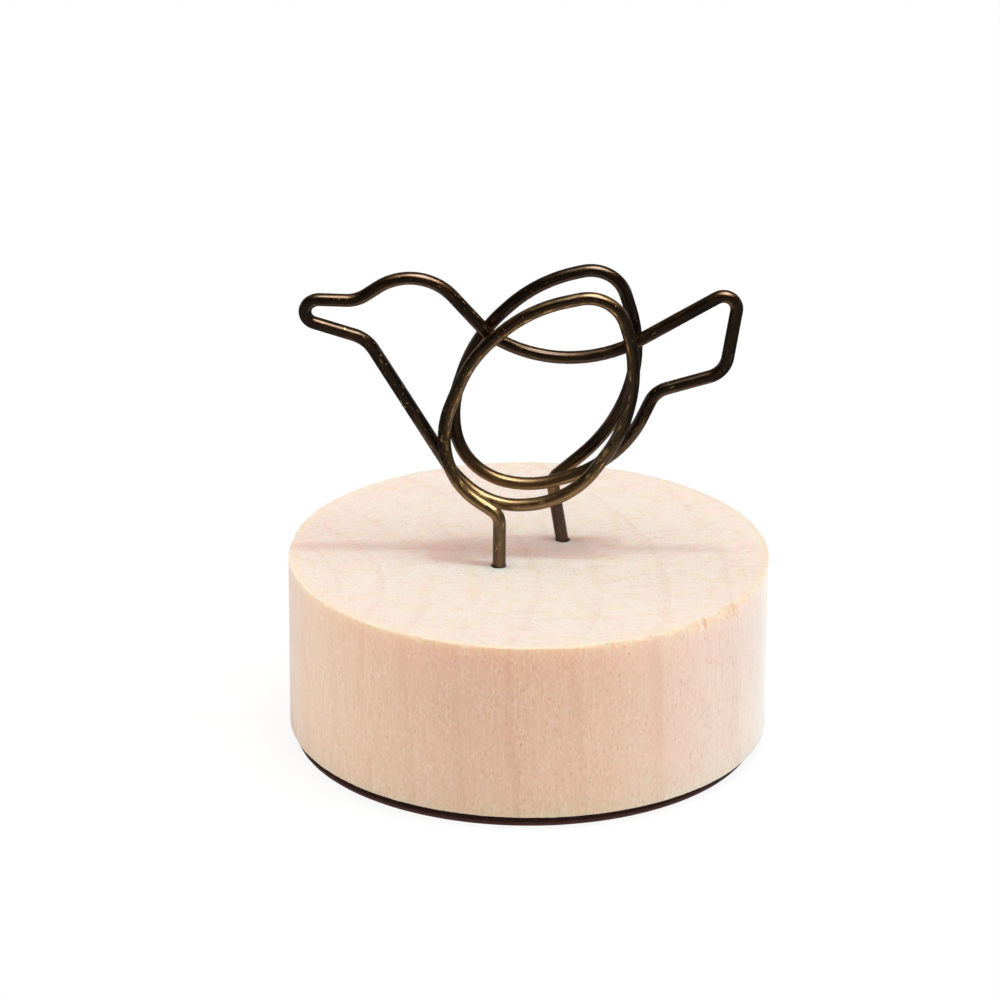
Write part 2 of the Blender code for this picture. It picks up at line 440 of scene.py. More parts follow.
def speckles():
    """Small round marks: pores in end grain, chips in the patina, cells in the foam."""
    if "Speckles" not in bpy.data.node_groups:
        nodes, given, out = mask_group("Speckles", Size=0.2, Share=0.4, Softness=0.1)
        sized = nodes.scaled(given["Place"], nodes.math("DIVIDE", 1.0, given["Size"]))
        mask_from_height(nodes, given, out, nodes.noise(sized, 1.0, 2.0, 0.6))
    return bpy.data.node_groups["Speckles"]


def new_material(name):
    """An empty material, its nodes and its Principled shader."""
    material = bpy.data.materials.new(name)
    material.use_nodes = True
    return material, Nodes(material.node_tree), material.node_tree.nodes["Principled BSDF"]


def place_in_mm(nodes):
    coordinates = nodes.add("ShaderNodeTexCoord")
    return nodes.scaled(coordinates.outputs["Object"], 1 / MM), coordinates.outputs["Normal"]


def bumped(nodes, shader, height, distance, strength=1.0):
    bump = nodes.add("ShaderNodeBump", {
        "Height": height, "Distance": distance, "Strength": strength})
    nodes.link(bump.outputs["Normal"], shader.inputs["Normal"])


def set_inputs(nodes, shader, **values):
    """Sets the shader's inputs, named here with low lines for the spaces in their names."""
    for name, value in values.items():
        nodes.link(value, shader.inputs[name.replace("_", " ")])


# The wooden disc

def growth_rings(nodes, place, spacing):
    """How dense the wood is, from its growth rings, the distance from the tree's middle, and the
    place along and across the rays that run out from there."""
    x, y, z = nodes.separate(place)
    across = nodes.plus(nodes.minus(x, PITH.x / MM), nodes.times(z, RING_LEAN))
    back = nodes.minus(y, PITH.y / MM)
    waver = nodes.times(nodes.minus(nodes.noise(place, 0.11), 0.5), 2.4)
    distance = nodes.plus(nodes.vector("LENGTH", nodes.combine(across, back, 0.0)), waver)
    # Rings lie closer together near the middle of the tree
    age = nodes.times(nodes.math("SQRT", distance), 2 * math.sqrt(WIDE_RINGS) / (spacing / MM))
    part = nodes.math("FRACT", nodes.minus(age, RING_START))
    late = nodes.times(nodes.smooth(part, 0.74, 0.95), nodes.smooth(part, 0.955, 1.0, 1.0, 0.0))
    year = nodes.add("ShaderNodeTexWhiteNoise", {"W": nodes.math("FLOOR", age)},
                     noise_dimensions="1D").outputs["Value"]
    broken = nodes.smooth(nodes.noise(place, 0.35, 3.0), 0.35, 0.6, 0.35, 1.0)
    dense = nodes.times(late, nodes.smooth(year, 0.0, 1.0, 0.45, 1.0), broken)
    turn = nodes.math("ARCTAN2", back, across)
    rays = nodes.combine(nodes.times(turn, WIDE_RINGS), z, distance)
    return dense, distance, rays


def wood_material(settings):
    material, nodes, shader = new_material("pale_wood")
    place, normal = place_in_mm(nodes)
    x, y, z = nodes.separate(place)
    end_grain = nodes.smooth(nodes.math("ABSOLUTE", nodes.separate(normal)[2]), 0.5, 0.95)
    flat_place = nodes.combine(x, y, 0.0)
    dense, distance, rays = growth_rings(nodes, place, settings.ring_spacing)
    clumps = nodes.smooth(nodes.noise(place, 0.8, 2.0), 0.35, 0.65, 0.55, 1.25)

    def grain(*shift, **sizes):
        return nodes.placed(streaks(), place, shift, **sizes)

    def spots(*shift, **sizes):
        return nodes.placed(speckles(), place, shift, **sizes)

    # The side: paler sapwood far from the tree's middle, which also stands as painted light on
    # the brighter right side; fibres in broad and fine streaks, short flecks
    broad, _ = grain(0, 0, 0, Width=0.9, Stretch=12.0, Share=0.5, Softness=0.4)
    line, _ = grain(43, 29, 37, Width=0.42, Stretch=10.0, Share=0.46, Softness=0.16)
    fine, fine_height = grain(31, 7, 3, Width=0.15, Stretch=2.6, Share=0.48, Softness=0.2)
    pale, pale_height = grain(5, 53, 11, Width=0.16, Stretch=2.4, Share=0.58, Softness=0.26)
    dark_fleck, _ = grain(71, 17, 5, Width=0.16, Stretch=6.0, Share=0.3, Softness=0.08)
    drawn, _ = grain(19, 61, 23, Width=0.13, Stretch=18.0, Share=0.5, Softness=0.14)
    # Drawn-out lines show where the side turns away, dots where it faces the front
    turned_away = nodes.smooth(nodes.math("ABSOLUTE", x), 9.0, 17.0, 0.08, 0.27)
    # Painted light as well as sapwood: the side grows paler towards the right
    sapwood_and_painted_light = nodes.smooth(distance, 36.0, 47.0)
    side = nodes.painted(settings.side_colour, settings.sapwood_and_lit_colour, sapwood_and_painted_light)
    side = nodes.painted(side, settings.rim_colour, broad, 0.4)
    side = nodes.painted(side, settings.sapwood_and_lit_colour, line, 0.3)
    side = nodes.painted(side, settings.fleck_colour, fine, clumps, 0.6)
    side = nodes.painted(side, settings.end_colour, pale, clumps, 0.66)
    side = nodes.painted(side, settings.fleck_colour, dark_fleck, 0.32)
    side = nodes.painted(side, settings.fleck_colour, drawn, turned_away)
    side = nodes.painted(side, settings.fleck_colour, dense, 0.22)

    # The end grain: pores, honey-coloured clouds and rays that run out from the tree's middle
    pore, pore_height = spots(0, 0, 0, Size=0.17, Share=0.5, Softness=0.2)
    cloud, _ = spots(13, 2, 41, Size=1.5, Share=0.5, Softness=0.15)
    blush, _ = spots(2, 71, 9, Size=1.1, Share=0.45, Softness=0.25)
    ray, _ = nodes.placed(
        streaks(), rays, Width=0.27, Stretch=6.0, Share=0.46, Softness=0.14)
    # The pores are most open across the middle, where the block was sanded least
    open_pores = nodes.smooth(nodes.math("ABSOLUTE", y), 3.0, 10.0, 0.52, 0.34)
    top = nodes.painted(settings.end_colour, settings.rim_colour, cloud, 0.54)
    top = nodes.painted(top, settings.ring_colour, blush, 0.16)
    top = nodes.painted(top, settings.ring_colour, ray, 0.34)
    top = nodes.painted(top, settings.fleck_colour, nodes.plus(clumps, dense), open_pores, pore)

    colour = nodes.painted(side, top, end_grain)
    ring_share = nodes.smooth(end_grain, 0.0, 1.0, 0.12, 0.24)
    colour = nodes.painted(colour, settings.ring_colour, dense, ring_share)

    # The rims: honey-coloured where the fibres are cut, browner where they are torn out
    from_top = nodes.minus(DISC_TOP / MM, z)
    from_bottom = nodes.minus(z, DISC_BOTTOM / MM)
    inwards = nodes.minus(DISC_R / MM, nodes.vector("LENGTH", flat_place))
    ragged = nodes.plus(nodes.plus(inwards, from_top), nodes.times(fine_height, 1.3))
    patchy = nodes.smooth(nodes.noise(flat_place, 1.6, 4.0), 0.35, 0.6, 0.25, 1.0)
    rim = nodes.smooth(ragged, 0.7, 1.8, 0.8, 0.0)
    colour = nodes.painted(colour, settings.rim_colour, rim, patchy)
    from_edge = nodes.smaller(inwards, nodes.smaller(from_top, from_bottom))
    torn = nodes.smooth(from_edge, 0.05, 0.2, 0.0, 0.18)
    colour = nodes.painted(colour, settings.rim_colour, torn, 2.2)
    torn_fibre = nodes.smooth(fine_height, 0.35, 0.55, 0.3, 1.0)
    colour = nodes.painted(colour, settings.fleck_colour, torn, torn_fibre)

    # Painted shade: the mouths and walls of the two holes are darkened, where shade falls in the
    # gap round each leg
    front_hole, back_hole = (
        nodes.vector("DISTANCE", flat_place, (hole.x / MM, hole.y / MM, 0.0))
        for hole in hole_places())
    from_hole = nodes.minus(nodes.smaller(front_hole, back_hole), HOLE_R / MM)
    painted_hole_shade = nodes.smooth(from_hole, -0.02, 0.07, 0.85, 0.0)
    colour = nodes.painted(colour, (0.13, 0.055, 0.035), painted_hole_shade)

    set_inputs(
        nodes, shader, Base_Color=colour,
        Roughness=nodes.smooth(fine_height, 0.3, 0.7, 0.5, 0.65),
        Specular_IOR_Level=0.5, Sheen_Weight=1.0, Sheen_Tint=(0.84, 0.9, 0.9),
        Subsurface_Weight=0.6, Subsurface_Radius=(1.0, 0.22, 0.14),
        Subsurface_Scale=3.4 * MM)
    side_height = nodes.times(nodes.plus(fine_height, pale_height), 0.4)
    height = nodes.add("ShaderNodeMix", {0: end_grain, 2: side_height, 3: pore_height},
                       data_type="FLOAT").outputs[0]
    bumped(nodes, shader, height, 0.035 * MM)
    return material


def layer_step(bird):
    return bird.wire_diameter + bird.card_gap


def bend_place(bend, layer):
    return Vector((bend.x * GRID, bend.layer * layer, DISC_TOP + bend.z * GRID))


def hole_places():
    """The middles of the front and the back hole, in plan: the legs are sprung towards the
    disc's middle from there."""
    layer = layer_step(bpy.context.scene.memo_clip_bird)
    front = bend_place(FRONT_LEG_TOP, layer)
    back = bend_place(BACK_LEG_MOUTH, layer)
    return (Vector((front.x - LEG_PRESS, front.y, 0)), Vector((back.x + LEG_PRESS, back.y, 0)))


def rough_at(angle, width, radius, seed):
    """Smooth noise from -1 to 1 round a circle, with features about width long."""
    turn = radius / width
    return noise.noise(Vector((math.cos(angle) * turn, math.sin(angle) * turn, seed * 7.31)))


def fibre_at(angle, width, seed):
    """A value from 0 to 1 that jumps from one bundle of fibres to the next."""
    step = angle * DISC_R / width + 0.8 * rough_at(angle, 3 * width, DISC_R, seed)
    bundle = math.floor(step)
    before, here = (0.5 + 0.5 * noise.cell(Vector((n, seed, 0))) for n in (bundle - 1, bundle))
    return before + (here - before) * min(1.0, (step - bundle) / 0.3)


def torn_share(angle, seed):
    """How much the top rim is torn at this angle, fully from 1 on: most at the front right, where
    the blade left the wood, and a little in a few other places."""
    share = 0.0
    for middle, reach, most in TORN_PLACES:
        away = math.remainder(angle - math.radians(middle), 2 * math.pi)
        share = max(share, most * max(0.0, 1 - (away / math.radians(reach)) ** 2))
    return share * (0.75 + 0.6 * rough_at(angle, TEAR_WIDTH, DISC_R, seed))


def rim_sizes(angle, settings):
    """How far the top rim is worn inwards and downwards at this angle, and how hollow it is."""
    broad = rough_at(angle, TOP_WAVE, DISC_R, settings.seed)
    fine = rough_at(angle, TOP_RIPPLE, DISC_R, settings.seed + 1)
    fibre = fibre_at(angle, FIBRE_WIDTH, settings.seed)
    inwards = settings.rim_wear * (1 + 0.35 * broad + 0.3 * fine + 0.5 * (fibre - 0.5))
    downwards = settings.rim_wear * (1 + 0.3 * broad + 2.6 * max(0.0, fibre - 0.5))
    torn = torn_share(angle, settings.seed + 2)
    bundle = fibre_at(angle, BUNDLE_WIDTH, settings.seed + 3)
    bite = min(1.0, max(0.0, torn)) * min(1.0, 1.15 * bundle ** 1.6)
    inwards += TORN_INWARDS * bite
    downwards += settings.tear_depth * bite * (0.5 + 0.5 * fibre)
    return max(inwards, LEAST_WEAR), max(downwards, LEAST_WEAR), bite


def turned_shape(name, sides, rings):
    """A closed round body. Each of the rings is a list of points, from the middle of the top
    outwards, down and back to the middle of the bottom."""
    made = bmesh.new()
    rows = [[made.verts.new(point) for point in ring] for ring in rings]
    for upper, lower in zip(rows, rows[1:]):
        for i in range(sides):
            j = (i + 1) % sides
            made.faces.new((upper[i], lower[i], lower[j], upper[j]))
    made.faces.new(rows[0])
    made.faces.new(rows[-1][::-1])
    bmesh.ops.recalc_face_normals(made, faces=made.faces)
    mesh = bpy.data.meshes.new(name)
    made.to_mesh(mesh)
    made.free()
    mesh.polygons.foreach_set("use_smooth", [True] * len(mesh.polygons))
    return new_object(name, mesh)


def new_object(name, data):
    """A new object in the scene."""
    obj = bpy.data.objects.new(name, data)
    bpy.context.scene.collection.objects.link(obj)
    return obj


def round_ring(sides, place):
    """A ring of points; place gives the radius and the height at an angle."""
    points = []
    for i in range(sides):
        angle = 2 * math.pi * i / sides
        radius, height = place(angle)
        points.append((radius * math.cos(angle), radius * math.sin(angle), height))
    return points


def rim_rings(sides, steps, place):
    """The rings of a rim; place gives the radius and the height at an angle and at a part of the
    quarter turn."""
    return [round_ring(sides, lambda angle: place(angle, math.pi / 2 * step / steps))
            for step in range(steps + 1)]


def worn_disc(settings):
    lower_wear = settings.rim_wear * 0.6

    def on_top_rim(angle, part):
        inwards, downwards, bite = rim_sizes(angle, settings)
        hollow = 0.7 * bite
        round_in, round_down = 1 - math.sin(part), 1 - math.cos(part)
        hollow_in, hollow_down = math.cos(part), math.sin(part)
        return (DISC_R - inwards * (round_in + (hollow_in - round_in) * hollow),
                DISC_TOP - downwards * (round_down + (hollow_down - round_down) * hollow))

    def on_bottom_rim(angle, part):
        fine = rough_at(angle, BOTTOM_RIPPLE, DISC_R, settings.seed + 5)
        middle = rough_at(angle, BOTTOM_WAVE, DISC_R, settings.seed + 6)
        brass_share = max(lower_wear * (0.8 + 0.5 * fine + 0.5 * middle), LEAST_BOTTOM_WEAR)
        return (DISC_R - brass_share * (1 - math.cos(part)),
                DISC_BOTTOM + brass_share * (1 - math.sin(part)))

    def even_ring(inwards, height):
        return round_ring(DISC_SIDES, lambda angle: (DISC_R - inwards, height))

    return turned_shape("wooden_disc", DISC_SIDES, [
        *(even_ring(inside, DISC_TOP) for inside in TOP_RINGS_INSIDE),
        *rim_rings(DISC_SIDES, DISC_RIM_STEPS, on_top_rim),
        even_ring(0, DISC_TOP - SIDE_RING_UNDER_TOP),
        even_ring(0, DISC_BOTTOM + SIDE_RING_OVER_BOTTOM),
        *rim_rings(DISC_SIDES, DISC_RIM_STEPS, on_bottom_rim),
        even_ring(BOTTOM_RING_INSIDE, DISC_BOTTOM)])


def drilled(obj, hole):
    """Cuts the hole for one leg, with a drill's pointed end."""
    over = 0.3 * MM
    mouth_r = HOLE_R + 0.02 * MM
    mouth_depth = 0.05 * MM
    blunt = 0.05

    def drill_ring(radius, height):
        return [(x + hole.x, y + hole.y, z)
                for x, y, z in round_ring(HOLE_SIDES, lambda angle: (radius, height))]

    cutter = turned_shape("drill", HOLE_SIDES, [
        drill_ring(mouth_r, DISC_TOP + over),
        drill_ring(mouth_r, DISC_TOP),
        drill_ring(HOLE_R, DISC_TOP - mouth_depth),
        drill_ring(HOLE_R, DISC_TOP - HOLE_DEPTH),
        drill_ring(HOLE_R * blunt, DISC_TOP - HOLE_DEPTH - HOLE_POINT * (1 - blunt))])
    modifier = obj.modifiers.new("drill", "BOOLEAN")
    modifier.operation = "DIFFERENCE"
    modifier.solver = "EXACT"
    modifier.object = cutter
    make_plain(obj)
    bpy.data.objects.remove(cutter)


def make_plain(obj):
    """Turns the object's evaluated shape into its own plain mesh, without modifiers."""
    graph = bpy.context.evaluated_depsgraph_get()
    mesh = bpy.data.meshes.new_from_object(obj.evaluated_get(graph))
    mesh.name = obj.name
    obj.modifiers.clear()
    obj.data = mesh


def geometry_tree(name, inputs):
    """A new Geometry Nodes tree. Inputs are name, socket kind and default."""
    tree = bpy.data.node_groups.new(name, "GeometryNodeTree")
    tree.interface.new_socket("Geometry", in_out="INPUT", socket_type="NodeSocketGeometry")
    for label, kind, default in inputs:
        socket = tree.interface.new_socket(label, in_out="INPUT", socket_type=kind)
        if default is not None:
            socket.default_value = default
    tree.interface.new_socket("Geometry", in_out="OUTPUT", socket_type="NodeSocketGeometry")
    nodes = Nodes(tree)
    return nodes, nodes.add("NodeGroupInput").outputs, nodes.add("NodeGroupOutput").inputs


def end_tree(nodes, given, out, geometry):
    """Ends a tree with real geometry in the given material."""
    real = nodes.add("GeometryNodeRealizeInstances", {"Geometry": geometry})
    dressed = nodes.add("GeometryNodeSetMaterial", {
        "Geometry": real.outputs[0], "Material": given["Material"]})
    nodes.link(dressed.outputs[0], out["Geometry"])
    return nodes.tree


def run_tree(obj, tree, values):
    """Gives the object what the tree makes of it, as a plain mesh."""
    modifier = obj.modifiers.new(tree.name, "NODES")
    modifier.node_group = tree
    for item in tree.interface.items_tree:
        if item.item_type == "SOCKET" and item.in_out == "INPUT" and item.name in values:
            modifier[item.identifier] = values[item.name]
    make_plain(obj)


def fibre_tree():
    """Loose fibres, tapered and turned at random, standing along lines of points."""
    nodes, given, out = geometry_tree("Rim fibres", (
        ("Gap", "NodeSocketFloat", 0.16 * MM), ("Length", "NodeSocketFloat", 0.34 * MM),
        ("Width", "NodeSocketFloat", 0.07 * MM), ("Seed", "NodeSocketInt", 1),
        ("Material", "NodeSocketMaterial", None)))

    def varied(low, high, seed):
        return nodes.add("FunctionNodeRandomValue", {0: low, 1: high, "Seed": seed},
                         data_type="FLOAT_VECTOR").outputs[0]

    line = nodes.add("GeometryNodeMeshToCurve", {"Mesh": given["Geometry"]})
    points = nodes.add("GeometryNodeCurveToPoints", {
        "Curve": line.outputs[0], "Length": given["Gap"]}, mode="LENGTH")
    shift = varied((-0.1 * MM, -0.1 * MM, -0.5 * MM), (0.1 * MM, 0.1 * MM, -0.1 * MM),
                   given["Seed"])
    moved = nodes.add("GeometryNodeSetPosition", {
        "Geometry": points.outputs["Points"], "Offset": shift})
    cone = nodes.add("GeometryNodeMeshCone", {
        "Vertices": 5, "Side Segments": 2, "Radius Top": 0.0,
        "Radius Bottom": nodes.times(given["Width"], 0.5), "Depth": given["Length"]})
    tilt = varied((-0.25, -0.25, 0.0), (0.25, 0.25, 6.28), nodes.plus(given["Seed"], 2))
    size = varied((0.6, 0.6, 0.5), (1.6, 1.6, 1.2), nodes.plus(given["Seed"], 3))
    placed = nodes.add("GeometryNodeInstanceOnPoints", {
        "Points": moved.outputs[0], "Instance": cone.outputs["Mesh"],
        "Rotation": tilt, "Scale": size})
    return end_tree(nodes, given, out, placed.outputs[0])


class MEMOCLIP_OT_disc(bpy.types.Operator):
    """Makes the wooden disc with its worn rims and drilled holes"""

    bl_idname = "memo_clip.disc"
    bl_label = "Wooden disc"

    def execute(self, context):
        settings = context.scene.memo_clip_disc
        disc = worn_disc(settings)
        for hole in hole_places():
            drilled(disc, hole)
        disc.data.materials.clear()
        disc.data.materials.append(wood_material(settings))
        disc.data.polygons.foreach_set("use_smooth", [True] * len(disc.data.polygons))
        disc.data.set_sharp_from_angle(angle=SHARP_ANGLE)
        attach(disc, "root")
        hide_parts("wooden_base")
        return {"FINISHED"}


class MEMOCLIP_OT_fibres(bpy.types.Operator):
    """Makes the loose fibres that sanding leaves along the disc's top rim"""

    bl_idname = "memo_clip.fibres"
    bl_label = "Rim fibres"

    def execute(self, context):
        settings = context.scene.memo_clip_disc
        material = bpy.data.materials.get("pale_wood")
        if material is None:
            raise RuntimeError("The wooden disc is made first, because the fibres are its wood")
        sides = FIBRE_LINE_SIDES
        ring = round_ring(
            sides, lambda angle: (DISC_R - FIBRES_INSIDE, DISC_TOP - FIBRES_DOWN))
        torn = [torn_share(2 * math.pi * i / sides, settings.seed + 2) > FIBRES_FROM
                for i in range(sides)]
        mesh = bpy.data.meshes.new("rim_fibres")
        mesh.from_pydata(ring, [(i, (i + 1) % sides) for i in range(sides)
                                if torn[i] and torn[(i + 1) % sides]], [])
        fibres = new_object("rim_fibres", mesh)
        run_tree(fibres, fibre_tree(), {
            "Gap": settings.fibre_gap, "Length": settings.fibre_length,
            "Seed": settings.seed, "Material": material})
        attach(fibres, "root")
        return {"FINISHED"}


# The wire bird

def brass_material(settings):
    material, nodes, shader = new_material("aged_brass")
    place, normal = place_in_mm(nodes)
    x, y, z = nodes.separate(place)
    straight = nodes.add("ShaderNodeAttribute", attribute_name="straight").outputs["Vector"]
    straight = nodes.scaled(straight, 1 / MM)

    def along_wire(*shift, **sizes):
        return nodes.placed(streaks(), straight, shift, **sizes)

    # Thick and thin patina, in long clouds with short ones over them
    _, clouds = along_wire(0, 0, 0, Width=1.1, Stretch=5.0, Share=0.5, Softness=0.3)
    _, mottle = along_wire(9, 4, 2, Width=0.35, Stretch=4.0, Share=0.5, Softness=0.3)
    thin = nodes.plus(nodes.times(clouds, 0.65), nodes.times(mottle, 0.35))
    thin = nodes.smooth(thin, 0.4, 0.68)
    # Thin too at the bottoms of the rings, where the cards rest; this paler band near the disc is
    # also a painted reflection of the pale wood below
    above_disc = nodes.minus(z, DISC_TOP / MM)
    card_wear_and_reflection = nodes.times(nodes.smooth(above_disc, 3.2, 4.6, 0.0, 0.75),
                         nodes.smooth(above_disc, 6.0, 9.0, 1.0, 0.0))
    patina = nodes.painted(
        settings.patina_dark, settings.patina_light, nodes.plus(thin, card_wear_and_reflection))

    # Rubbed where a card slides in: the inner, forward side of the front ring
    to_middle = nodes.combine(
        nodes.minus(RING_MIDDLE.x / MM, x), 0.0,
        nodes.minus((DISC_TOP + RING_MIDDLE.y) / MM, z))
    inner = nodes.vector("DOT_PRODUCT", nodes.vector("NORMALIZE", to_middle), normal)
    forward = nodes.times(nodes.separate(normal)[1], -1.0)
    rubbed = nodes.plus(nodes.times(inner, 0.5), nodes.times(forward, 0.866))
    in_front = nodes.smooth(y, -0.9, -0.4, 1.0, 0.0)
    rub_fleck, _ = along_wire(3, 8, 21, Width=0.22, Stretch=4.0, Share=0.55, Softness=0.2)
    rub = nodes.times(nodes.smooth(rubbed, 0.9, 0.995), in_front, rub_fleck)
    around = nodes.times(nodes.smooth(rubbed, 0.55, 1.0, 0.0, 0.12), in_front)

    # Polished a little on the tops of the bends, most on the front ring; these brighter upward
    # faces are also a painted highlight where the lamps above shine
    polish_and_highlight = nodes.times(nodes.smooth(nodes.separate(normal)[2], 0.45, 0.85),
                        nodes.smooth(y, -0.9, -0.4, 0.34, 0.08),
                        nodes.smooth(mottle, 0.35, 0.65, 0.4, 1.0))

    # Scratches along the wire and small chips, in some stretches more than in others
    handled = nodes.smooth(nodes.noise(place, 0.12, 1.0), 0.42, 0.62, 0.12, 1.0)
    handled = nodes.larger(handled, nodes.times(in_front, 0.6))
    scratches, _ = along_wire(17, 5, 1, Width=0.16, Stretch=6.0, Share=0.27, Softness=0.08)
    chips, _ = nodes.placed(
        speckles(), straight, (1, 2, 33), Size=0.32, Share=0.2, Softness=0.06)
    marks = nodes.times(nodes.larger(nodes.times(scratches, 0.9), chips), handled)

    # Bare brass: real wear, and painted highlight on the tops of the bends and painted reflection
    # at the bottoms of the rings
    bare = nodes.times(card_wear_and_reflection, 0.26)
    for brass_share in (rub, around, polish_and_highlight, marks):
        bare = nodes.larger(bare, brass_share)
    bare = nodes.smaller(nodes.times(bare, 0.4 + settings.wear), 1.0)
    set_inputs(
        nodes, shader, Base_Color=nodes.painted(patina, settings.brass_colour, bare),
        Roughness=nodes.plus(nodes.smooth(mottle, 0.3, 0.7, 0.3, 0.37), nodes.times(bare, 0.15)),
        Metallic=1.0, Specular_Tint=(0.3, 0.25, 0.22), Coat_Weight=0.7, Coat_Roughness=0.11)
    bumped(nodes, shader, mottle, 0.02 * MM, 0.4)
    return material


def bend_radii(corners, radii):
    """Each bend's radius, held to what the straight runs have room for, and how far it turns."""
    turns = [0.0] * len(corners)
    reach = [0.0] * len(corners)
    for i in range(1, len(corners) - 1):
        into = corners[i] - corners[i - 1]
        out = corners[i + 1] - corners[i]
        turns[i] = into.angle(out)
        reach[i] = radii[i] * math.tan(turns[i] / 2)
    room = [1.0] * len(corners)
    for i in range(len(corners) - 1):
        run = (corners[i + 1] - corners[i]).length
        share = min(1.0, run / max(reach[i] + reach[i + 1], run))
        room[i] = min(room[i], share)
        room[i + 1] = min(room[i + 1], share)
    return [radius * share for radius, share in zip(radii, room)], turns


def wire_line(settings):
    """The wire's corners as a line of points, with each bend's radius and number of steps."""
    layer = layer_step(settings)
    places = [bend_place(bend, layer) for bend in BENDS]
    first, last = places[0].copy(), places[-1].copy()
    first.z = last.z = DISC_TOP - LEG_DEPTH
    corners = [first, *places, last]
    radii, turns = bend_radii(corners, [0, *(bend.radius * GRID for bend in BENDS), 0])
    mesh = bpy.data.meshes.new("bent_wire")
    mesh.from_pydata(corners, [(i, i + 1) for i in range(len(corners) - 1)], [])
    radius = mesh.attributes.new("bend_radius", "FLOAT", "POINT")
    radius.data.foreach_set("value", radii)
    steps = mesh.attributes.new("bend_steps", "INT", "POINT")
    steps.data.foreach_set("value", [math.ceil(turn / BEND_STEP) for turn in turns])
    return new_object("bent_wire", mesh)


def wire_tree():
    """Rounds the corners of a line and makes it a wire with closed ends. The wire's points keep
    where they would lie on it if it were straight, as the attribute straight."""
    nodes, given, out = geometry_tree("Bent wire", (
        ("Diameter", "NodeSocketFloat", 1.1 * MM), ("Sides", "NodeSocketInt", 24),
        ("Step", "NodeSocketFloat", 0.22 * MM), ("Dent Depth", "NodeSocketFloat", 0.0),
        ("Material", "NodeSocketMaterial", None)))

    def named(name, kind):
        return nodes.add("GeometryNodeInputNamedAttribute", {"Name": name},
                         data_type=kind).outputs["Attribute"]

    def kept(geometry, kind, name, value):
        """The geometry with a value captured on it, and that value."""
        node = nodes.add("GeometryNodeCaptureAttribute", {"Geometry": geometry})
        node.capture_items.new(kind, name)
        nodes.link(value, node.inputs[1])
        return node.outputs[0], node.outputs[1]

    line = nodes.add("GeometryNodeMeshToCurve", {"Mesh": given["Geometry"]})
    bent = nodes.add("GeometryNodeFilletCurve", {
        "Curve": line.outputs[0], "Count": named("bend_steps", "INT"),
        "Radius": named("bend_radius", "FLOAT"), "Limit Radius": True}, mode="POLY")
    even = nodes.add("GeometryNodeResampleCurve", {
        "Curve": bent.outputs[0], "Length": given["Step"]}, mode="LENGTH")
    length = nodes.add("GeometryNodeSplineParameter").outputs["Length"]
    path, along = kept(even.outputs[0], "FLOAT", "along", length)
    circle = nodes.add("GeometryNodeCurvePrimitiveCircle", {
        "Resolution": given["Sides"], "Radius": nodes.times(given["Diameter"], 0.5)},
        mode="RADIUS")
    place = nodes.add("GeometryNodeInputPosition").outputs[0]
    profile, around = kept(circle.outputs[0], "VECTOR", "around", place)
    wire = nodes.add("GeometryNodeCurveToMesh", {
        "Curve": path, "Profile Curve": profile, "Fill Caps": True})
    straight = nodes.vector("ADD", around, nodes.combine(0.0, 0.0, along))
    stored = nodes.add("GeometryNodeStoreNamedAttribute", {
        "Geometry": wire.outputs[0], "Name": "straight", "Value": straight},
        data_type="FLOAT_VECTOR", domain="POINT")
    dent = nodes.noise(nodes.vector("MULTIPLY", straight, MARKS_PER_METRE), 1.0)
    depth = nodes.times(nodes.plus(dent, 0.3), nodes.times(given["Dent Depth"], -1.0))
    normal = nodes.add("GeometryNodeInputNormal").outputs[0]
    dented = nodes.add("GeometryNodeSetPosition", {
        "Geometry": stored.outputs[0], "Offset": nodes.scaled(normal, depth)})
    return end_tree(nodes, given, out, dented.outputs[0])


class MEMOCLIP_OT_bird(bpy.types.Operator):
    """Makes the bird of aged brass wire, from its front leg to its back leg"""

    bl_idname = "memo_clip.bird"
    bl_label = "Wire bird"

    def execute(self, context):
        settings = context.scene.memo_clip_bird
        bird = wire_line(settings)
        run_tree(bird, wire_tree(), {
            "Diameter": settings.wire_diameter, "Sides": settings.wire_sides,
            "Step": settings.ring_step, "Dent Depth": settings.dent_depth,
            "Material": brass_material(settings)})
        ends = [len(face.vertices) > 4 for face in bird.data.polygons]
        if ends.count(True) != 2:
            raise RuntimeError("The wire should have two closed ends")
        bird.data.polygons.foreach_set("use_smooth", [not end for end in ends])
        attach(bird, "root")
        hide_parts("wire_bird")
        return {"FINISHED"}


# The foam pad

def foam_material(settings):
    material, nodes, shader = new_material("dark_foam")
    place, _ = place_in_mm(nodes)
    cells, cell_height = nodes.placed(
        speckles(), place, Size=settings.cell_size / MM, Share=0.55, Softness=0.25)
    clouds, _ = nodes.placed(speckles(), place, Size=1.6, Share=0.5, Softness=0.4)
    colour = nodes.painted(settings.foam_colour, settings.cell_and_lit_edge_colour, cells, 0.15)
    # Painted light: the pad's side is lighter towards its bottom, where light from the floor
    # reaches it, and stays dark at its top under the disc
    lit_lower_side = nodes.smooth(nodes.separate(place)[2], 0.0, 0.5, 1.0, 0.0)
    patchy = nodes.smooth(clouds, 0.0, 1.0, 0.6, 0.9)
    set_inputs(
        nodes, shader,
        Base_Color=nodes.painted(colour, settings.cell_and_lit_edge_colour, lit_lower_side, patchy),
        Roughness=nodes.smooth(cell_height, 0.3, 0.7, 0.8, 0.95), Specular_IOR_Level=0.25)
    bumped(nodes, shader, cell_height, 0.05 * MM)
    return material


